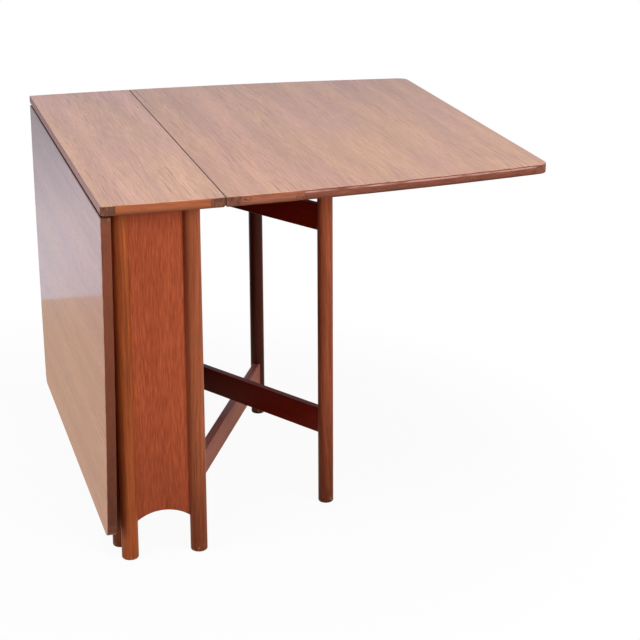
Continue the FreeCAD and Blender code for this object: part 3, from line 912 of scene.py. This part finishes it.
@dataclass
class Gates:
    """The four gates: legs and pivots in red-brown wood, rails stained dark; the far legs and the near
    rails are darkened further with painted shade.
    """

    leg_dark: Colour = screen(119, 58, 36)
    leg_light: Colour = screen(168, 91, 61)
    # Far legs: the leg colours darkened as painted shade under the table.
    shaded_far_leg_dark: Colour = screen(50, 17, 10)
    shaded_far_leg_light: Colour = screen(75, 29, 19)
    # Near rails: darkened as painted shade; the far rails keep a lighter colour.
    shaded_rail_dark: Colour = screen(106, 20, 9)
    shaded_rail_light: Colour = screen(144, 38, 20)
    far_rail_dark: Colour = screen(118, 61, 50)
    far_rail_light: Colour = screen(158, 94, 80)
    across_step: float = 0.37
    along_step: float = 0.2

    def dress(self) -> None:
        """Dress legs and pivots with upright grain and rails with grain along their run."""
        legs = {
            "near": {"dark": self.leg_dark, "light": self.leg_light, "pore": screen(76, 32, 20)},
            "far": {"dark": self.shaded_far_leg_dark, "light": self.shaded_far_leg_light, "pore": screen(54, 22, 14)},
        }
        rails = {
            "near": {"dark": self.shaded_rail_dark, "light": self.shaded_rail_light, "pore": screen(40, 12, 8)},
            "far": {"dark": self.far_rail_dark, "light": self.far_rail_light, "pore": screen(60, 24, 16)},
        }
        turned = {"roughness": 0.38, "specular": 0.16, "lines": 0.6, "streak": 1.1, "lean": 0.035}
        stained = {"roughness": 0.46, "specular": 0.12}
        for number, (side, end) in enumerate(product(("left", "right"), ("near", "far"))):
            gate = f"{side}_{end}_gate"
            across = self.across_step * number
            along = self.along_step * number
            post = Standing(f"{gate}_post_wood", Grain.ALONG_Z, shift=(across, along, 0.0),
                            **legs[end], **turned).build()
            swung = Grain.NEAR_GATE if end == "near" else Grain.FAR_GATE
            lie = swung if side == "right" else Grain.ALONG_Y
            wood = ShadedRail if end == "near" else Wood
            rail = wood(f"{gate}_rail_wood", lie, shift=(across, 0.0, 0.0),
                        **rails[end], **stained).build()
            for piece in ("leg", "stile" if end == "near" else "pivots"):
                dress(f"{gate}_{piece}", post)
            for piece in ("lower_rail", "upper_rail"):
                dress(f"{gate}_{piece}", rail)


@dataclass
class Hinges:
    """Brass butt hinges along both seams."""

    def dress(self) -> None:
        """Dress flaps and pins."""
        flap = Brass("hinge_brass").build()
        pin = Brass("pin_brass", roughness=0.28).build()
        for side in ("left", "right"):
            for piece in ("fixed_flaps", "leaf_flaps"):
                dress(f"{side}_hinge_{piece}", flap)
            dress(f"{side}_hinge_pins", pin)


@dataclass(frozen=True)
class ScrewRow:
    """Screws that stand for one node: where their heads lie and which way they are driven."""

    node: str
    body: str
    length: float
    heads: tuple[Triple, ...]
    driven: Triple = UP


@dataclass
class Screws:
    """Countersunk wood screws with slotted heads, modelled once for each length."""

    head_radius: float = 0.0034
    head_depth: float = 0.0018
    shank_radius: float = 0.0018
    point: float = 0.004
    point_share: float = 0.12
    slot_width: float = 0.0009
    slot_depth: float = 0.0009
    edge: float = 0.00012
    edge_segments: int = 2
    facets: int = 24
    turn: float = 0.83
    hinge_stations: tuple[float, ...] = (-0.252, 0.0, 0.252)
    hinge_spacing: float = 0.018
    hinge_length: float = 0.014
    flap_height: float = 0.7085
    fixed_offset: float = 0.0755
    leaf_offset: float = 0.1335
    hung_offset: float = 0.0935
    hung_height: float = 0.6905
    board_stations: tuple[float, ...] = (-0.15, 0.0, 0.15)
    board_height: float = 0.657
    board_length: float = 0.066
    bearer_stations: tuple[float, ...] = (-0.3, 0.3)
    bearer_spacing: float = 0.01
    bearer_length: float = 0.04
    upper_bearer_height: float = 0.637
    lower_bearer_height: float = 0.147

    SAME_HEIGHT = 1e-6
    LEVEL_NORMAL = 0.9

    @staticmethod
    def pairs(stations: tuple[float, ...], spacing: float) -> tuple[float, ...]:
        """Two places for each station, one to either side of it."""
        return tuple(station + step for station in stations for step in (-spacing, spacing))

    @staticmethod
    def line(x: float, z: float, along: tuple[float, ...]) -> tuple[Triple, ...]:
        """Heads in a line along the table."""
        return tuple((x, y, z) for y in along)

    def rows(self) -> list[ScrewRow]:
        """Place the screws.

        Returns:
            Every row of screws on the table.
        """
        hinges = self.pairs(self.hinge_stations, self.hinge_spacing)
        bearers = self.pairs(self.bearer_stations, self.bearer_spacing)
        return [
            ScrewRow("left_hinge_fixed_screws", "base", self.hinge_length,
                     self.line(-self.fixed_offset, self.flap_height, hinges)),
            ScrewRow("right_hinge_fixed_screws", "base", self.hinge_length,
                     self.line(self.fixed_offset, self.flap_height, hinges)),
            ScrewRow("right_hinge_leaf_screws", "right_leaf", self.hinge_length,
                     self.line(self.leaf_offset, self.flap_height, hinges)),
            ScrewRow("left_hinge_leaf_screws", "left_leaf", self.hinge_length,
                     self.line(-self.hung_offset, self.hung_height, hinges), LEFTWARD),
            ScrewRow("board_fixing_screws", "base", self.board_length,
                     self.line(0.0, self.board_height, self.board_stations)),
            ScrewRow("bearer_screws", "base", self.bearer_length,
                     self.line(0.0, self.upper_bearer_height, bearers)),
            ScrewRow("bearer_screws", "base", self.bearer_length,
                     self.line(0.0, self.lower_bearer_height, bearers), DOWN),
        ]

    def pick(self, piece: bpy.types.Object, level: float) -> None:
        """Select the level face of a mesh that lies at one height.

        Args:
            piece: An object in edit mode.
            level: The height of the face.
        """
        mesh = bmesh.from_edit_mesh(piece.data)
        for face in mesh.faces:
            near = abs(face.calc_center_median().z - level) < self.SAME_HEIGHT
            face.select_set(near and abs(face.normal.z) > self.LEVEL_NORMAL)
        bmesh.update_edit_mesh(piece.data)

    def model(self, length: float) -> bpy.types.Object:
        """Model one screw, with its head's face at the origin and its point up.

        Args:
            length: From the face of the head to the point.

        Returns:
            The screw.
        """
        start, finish = self.head_depth, length - self.point
        bpy.ops.object.select_all(action="DESELECT")
        bpy.ops.mesh.primitive_cylinder_add(
            vertices=self.facets, radius=self.shank_radius, depth=finish - start,
            location=(0.0, 0.0, (start + finish) / 2))
        screw = bpy.context.object
        bpy.ops.object.transform_apply(location=True, rotation=True, scale=True)
        bpy.ops.object.mode_set(mode="EDIT")
        for level, step, spread in ((start, -start, self.head_radius / self.shank_radius),
                                    (finish, self.point, self.point_share)):
            self.pick(screw, level)
            bpy.ops.mesh.extrude_region_move(TRANSFORM_OT_translate={"value": (0.0, 0.0, step)})
            bpy.ops.transform.resize(value=(spread, spread, 1.0), center_override=(0.0, 0.0, 0.0))
        bpy.ops.object.mode_set(mode="OBJECT")
        self.cut_slot(screw)
        return screw

    def cut_slot(self, screw: bpy.types.Object) -> None:
        """Cut the driver slot across a head and break its sharp edges.

        The blade is longer than the head is wide, and half of it stands clear of the head's face.

        Args:
            screw: The screw, with its head's face at the origin.
        """
        bpy.ops.object.select_all(action="DESELECT")
        bpy.ops.mesh.primitive_cube_add(size=1.0)
        blade = bpy.context.object
        blade.scale = (4 * self.head_radius, self.slot_width, 2 * self.slot_depth)
        bpy.ops.object.transform_apply(location=True, rotation=True, scale=True)
        bpy.ops.object.select_all(action="DESELECT")
        screw.select_set(True)
        bpy.context.view_layer.objects.active = screw
        slot = screw.modifiers.new("slot", "BOOLEAN")
        slot.operation = "DIFFERENCE"
        slot.object = blade
        bpy.ops.object.modifier_apply(modifier="slot")
        soft = screw.modifiers.new("soft", "BEVEL")
        soft.width = self.edge
        soft.segments = self.edge_segments
        soft.limit_method = "ANGLE"
        bpy.ops.object.modifier_apply(modifier="soft")
        bpy.ops.object.shade_smooth_by_angle()
        bpy.data.objects.remove(blade)

    def drive(self, row: ScrewRow, pattern: bpy.types.Object) -> list[bpy.types.Object]:
        """Copy a screw to every place of a row, each with its slot at its own angle.

        Args:
            row: The row.
            pattern: The screw that is copied.

        Returns:
            The copies.
        """
        copies = []
        lie = Vector(UP).rotation_difference(Vector(row.driven)).to_matrix().to_4x4()
        for number, head in enumerate(row.heads):
            turned = Matrix.Rotation(self.turn * (number + 1), 4, "Z")
            copy = pattern.copy()
            copy.data = pattern.data.copy()
            copy.matrix_world = Matrix.Translation(head) @ lie @ turned
            bpy.context.scene.collection.objects.link(copy)
            copies.append(copy)
        return copies

    def build(self) -> None:
        """Model the screws, join each node's row into one piece and hang it on its body."""
        brass = Brass("screw_brass", roughness=0.32).build()
        patterns: dict[float, bpy.types.Object] = {}
        sets: dict[str, list[bpy.types.Object]] = {}
        bodies: dict[str, str] = {}
        for row in self.rows():
            if row.length not in patterns:
                patterns[row.length] = self.model(row.length)
            sets.setdefault(row.node, []).extend(self.drive(row, patterns[row.length]))
            bodies[row.node] = row.body
        for pattern in patterns.values():
            bpy.data.objects.remove(pattern)
        for node, copies in sets.items():
            bpy.ops.object.select_all(action="DESELECT")
            for copy in copies:
                copy.select_set(True)
            bpy.context.view_layer.objects.active = copies[0]
            bpy.ops.object.join()
            bpy.ops.object.transform_apply(location=True, rotation=True, scale=True)
            piece = bpy.context.object
            piece.name = node.replace("_screws", "_slotted_screws")
            piece.data.materials.clear()
            piece.data.materials.append(brass)
            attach(piece, bodies[node])
            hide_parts(node)
            LOG.info("%s: %d screws", piece.name, len(copies))


@dataclass(frozen=True)
class Lamp:
    """A soft square lamp: where it hangs, the point it faces, its side, power, colour and spread."""

    name: str
    stand: Triple
    aim: Triple
    side: float
    watts: float
    colour: Colour
    spread: float = math.pi

    def hang(self) -> None:
        """Hang the lamp and leave it out of reflections, so that the varnish doesn't mirror it."""
        data = bpy.data.lights.new(self.name, "AREA")
        data.spread = self.spread
        data.shape = "SQUARE"
        data.size = self.side
        data.energy = self.watts
        data.color = self.colour
        holder = bpy.data.objects.new(self.name, data)
        holder.location = self.stand
        holder.visible_glossy = False
        holder.rotation_mode = "QUATERNION"
        holder.rotation_quaternion = (Vector(self.aim) - Vector(self.stand)).to_track_quat("-Z", "Y")
        bpy.context.scene.collection.objects.link(holder)


@dataclass
class Studio:
    """Camera, lamps, world, floor and a card that only reflections see."""

    focal: float = 1816.9667
    centre: tuple[float, float] = (284.2703, 224.6353)
    yaw: float = 0.2558230
    pitch: float = 0.2789548
    roll: float = 0.0096040
    stand: Triple = (-0.5851840, -3.5896384, 1.5845973)
    floor_tan: Colour = (0.45, 0.33, 0.26)
    floor_shine: Colour = (0.92, 0.66, 0.51)
    floor_shade: Colour = (0.9, 0.9, 0.9)
    floor_white: float = 0.94
    floor_far: float = 1.22
    floor_reach: float = 6.0
    floor_fade: tuple[float, float] = (0.75, 1.2)
    sky: Colour = (0.18, 0.18, 0.19)
    card_height: float = 3.0
    card_stops: tuple[tuple[float, Colour], ...] = (
        (0.0, (1.06, 1.06, 1.22)),
        (0.22, (1.02, 1.02, 1.16)),
        (0.5, (0.48, 0.59, 0.72)),
        (0.9, (0.62, 0.70, 0.78)),
        (1.08, (1.06, 0.94, 0.90)),
        (1.25, (1.34, 1.18, 1.05)),
        (3.0, WHITE),
    )
    lamps: tuple[Lamp, ...] = (
        Lamp("key", stand=(2.0, -3.2, 1.9), aim=(0.0, 0.0, 1.15), side=1.8, watts=18.0,
             colour=(1.0, 0.97, 0.93), spread=math.radians(56)),
        Lamp("fill", stand=(-3.1, -1.7, 1.6), aim=(0.0, 0.0, 0.2), side=2.0, watts=54.0,
             colour=(0.97, 0.98, 1.0)),
        Lamp("front", stand=(0.6, -3.7, 1.4), aim=(0.0, 0.0, 0.3), side=2.0, watts=8.0,
             colour=(1.0, 0.98, 0.96)),
        Lamp("overhead", stand=(0.2, -0.7, 3.4), aim=(0.2, -0.1, 0.7), side=2.6, watts=46.0,
             colour=WHITE),
        Lamp("back", stand=(0.6, 3.4, 1.5), aim=(0.1, 0.4, 0.4), side=2.2, watts=18.0,
             colour=(1.0, 0.98, 0.95)),
    )

    def camera(self) -> None:
        """Stand the camera where the photograph was taken from."""
        forward = Vector((math.sin(self.yaw) * math.cos(self.pitch),
                          math.cos(self.yaw) * math.cos(self.pitch), -math.sin(self.pitch)))
        level = Vector((math.cos(self.yaw), -math.sin(self.yaw), 0.0))
        below = forward.cross(level)
        right = math.cos(self.roll) * level + math.sin(self.roll) * below
        down = math.cos(self.roll) * below - math.sin(self.roll) * level
        data = bpy.data.cameras.new("camera")
        data.sensor_width = SENSOR
        data.lens = SENSOR * self.focal / PICTURE_SIDE
        data.shift_x = (PICTURE_SIDE / 2 - self.centre[0]) / PICTURE_SIDE
        data.shift_y = (self.centre[1] - PICTURE_SIDE / 2) / PICTURE_SIDE
        holder = bpy.data.objects.new("camera", data)
        turn = Matrix((right, -down, -forward)).transposed()
        holder.matrix_world = Matrix.Translation(self.stand) @ turn.to_4x4()
        bpy.context.scene.collection.objects.link(holder)
        bpy.context.scene.camera = holder

    def world(self) -> None:
        """A dim even sky that the camera and reflections see as white."""
        world = bpy.data.worlds.new("studio")
        world.use_nodes = True
        bpy.context.scene.world = world
        graph = Graph(world.node_tree)
        seen = graph.ray(Ray.CAMERA).larger(graph.ray(Ray.GLOSSY)).larger(graph.ray(Ray.TRANSMISSION))
        light = graph.node("ShaderNodeBackground", None, {"Color": self.sky, "Strength": 1.0})
        white = graph.node("ShaderNodeBackground", None, {"Color": WHITE, "Strength": 1.0})
        graph.node("ShaderNodeOutputWorld", None, {"Surface": graph.blend(seen, light, white)})

    @staticmethod
    def sheet(name: str, sides: tuple[float, float], middle: Triple, tilt: float = 0.0) -> bpy.types.Object:
        """Add a flat sheet.

        Args:
            name: The sheet's name.
            sides: The lengths of its sides.
            middle: Where its middle lies.
            tilt: The angle by which it is raised about its X axis.

        Returns:
            The sheet.
        """
        bpy.ops.object.select_all(action="DESELECT")
        bpy.ops.mesh.primitive_plane_add(size=1.0, location=middle, rotation=(tilt, 0.0, 0.0))
        sheet = bpy.context.object
        sheet.name = name
        sheet.scale = (*sides, 1.0)
        bpy.ops.object.transform_apply(location=True, rotation=True, scale=True)
        return sheet

    def floor(self) -> None:
        """Lay a pale floor that the camera sees as white, with the table's shadow on it."""
        sides = (2 * self.floor_reach, self.floor_far + self.floor_reach)
        floor = self.sheet("floor", sides, (0.0, (self.floor_far - self.floor_reach) / 2, 0.0))
        material, graph = blank_material("pale_floor")
        x, y, _ = graph.axes(graph.place())
        far = ((x * x + y * y) ** 0.5).rise(*self.floor_fade)
        shade = graph.node("ShaderNodeBsdfDiffuse", None, {"Color": self.floor_shade})
        paled = self.floor_white + (1 - self.floor_white) * far
        pictured = graph.blend(paled, shade, graph.glow(WHITE))
        plain = graph.node("ShaderNodeBsdfDiffuse", None, {"Color": self.floor_tan})
        mirrored = graph.blend(graph.ray(Ray.GLOSSY), plain, graph.glow(self.floor_shine))
        both = graph.blend(graph.ray(Ray.CAMERA), mirrored, pictured)
        below = graph.node("ShaderNodeNewGeometry", None, None, "Backfacing")
        sided = graph.blend(below, both, graph.node("ShaderNodeBsdfTransparent"))
        graph.node("ShaderNodeOutputMaterial", None, {"Surface": sided})
        floor.data.materials.append(material)

    def card(self) -> None:
        """Stand a card behind the floor that only reflections see: a pale wall, dim at table height."""
        middle = (0.0, self.floor_far, self.card_height / 2)
        card = self.sheet("reflected_card", (2 * self.floor_reach, self.card_height), middle, math.pi / 2)
        card.visible_camera = False
        card.visible_diffuse = False
        card.visible_shadow = False
        card.visible_transmission = False
        material, graph = blank_material("reflected_wall")
        _, _, z = graph.axes(graph.place())
        stops = [(level / self.card_height, colour) for level, colour in self.card_stops]
        colour = graph.node("ShaderNodeValToRGB", {"stops": stops}, {"Fac": z / self.card_height})
        graph.node("ShaderNodeOutputMaterial", None, {"Surface": graph.glow(colour)})
        card.data.materials.append(material)

    def build(self) -> None:
        """Set up the whole studio."""
        bpy.context.scene.view_settings.view_transform = "Standard"
        self.camera()
        self.world()
        self.floor()
        self.card()
        for lamp in self.lamps:
            lamp.hang()


def main() -> None:
    """Dress the table, set up the studio and report each piece."""
    logging.basicConfig(level=logging.INFO, format="%(name)s %(message)s")
    TableTop().dress()
    Base().dress()
    Gates().dress()
    Hinges().dress()
    Screws().build()
    Studio().build()


if __name__ == "__main__":
    main()
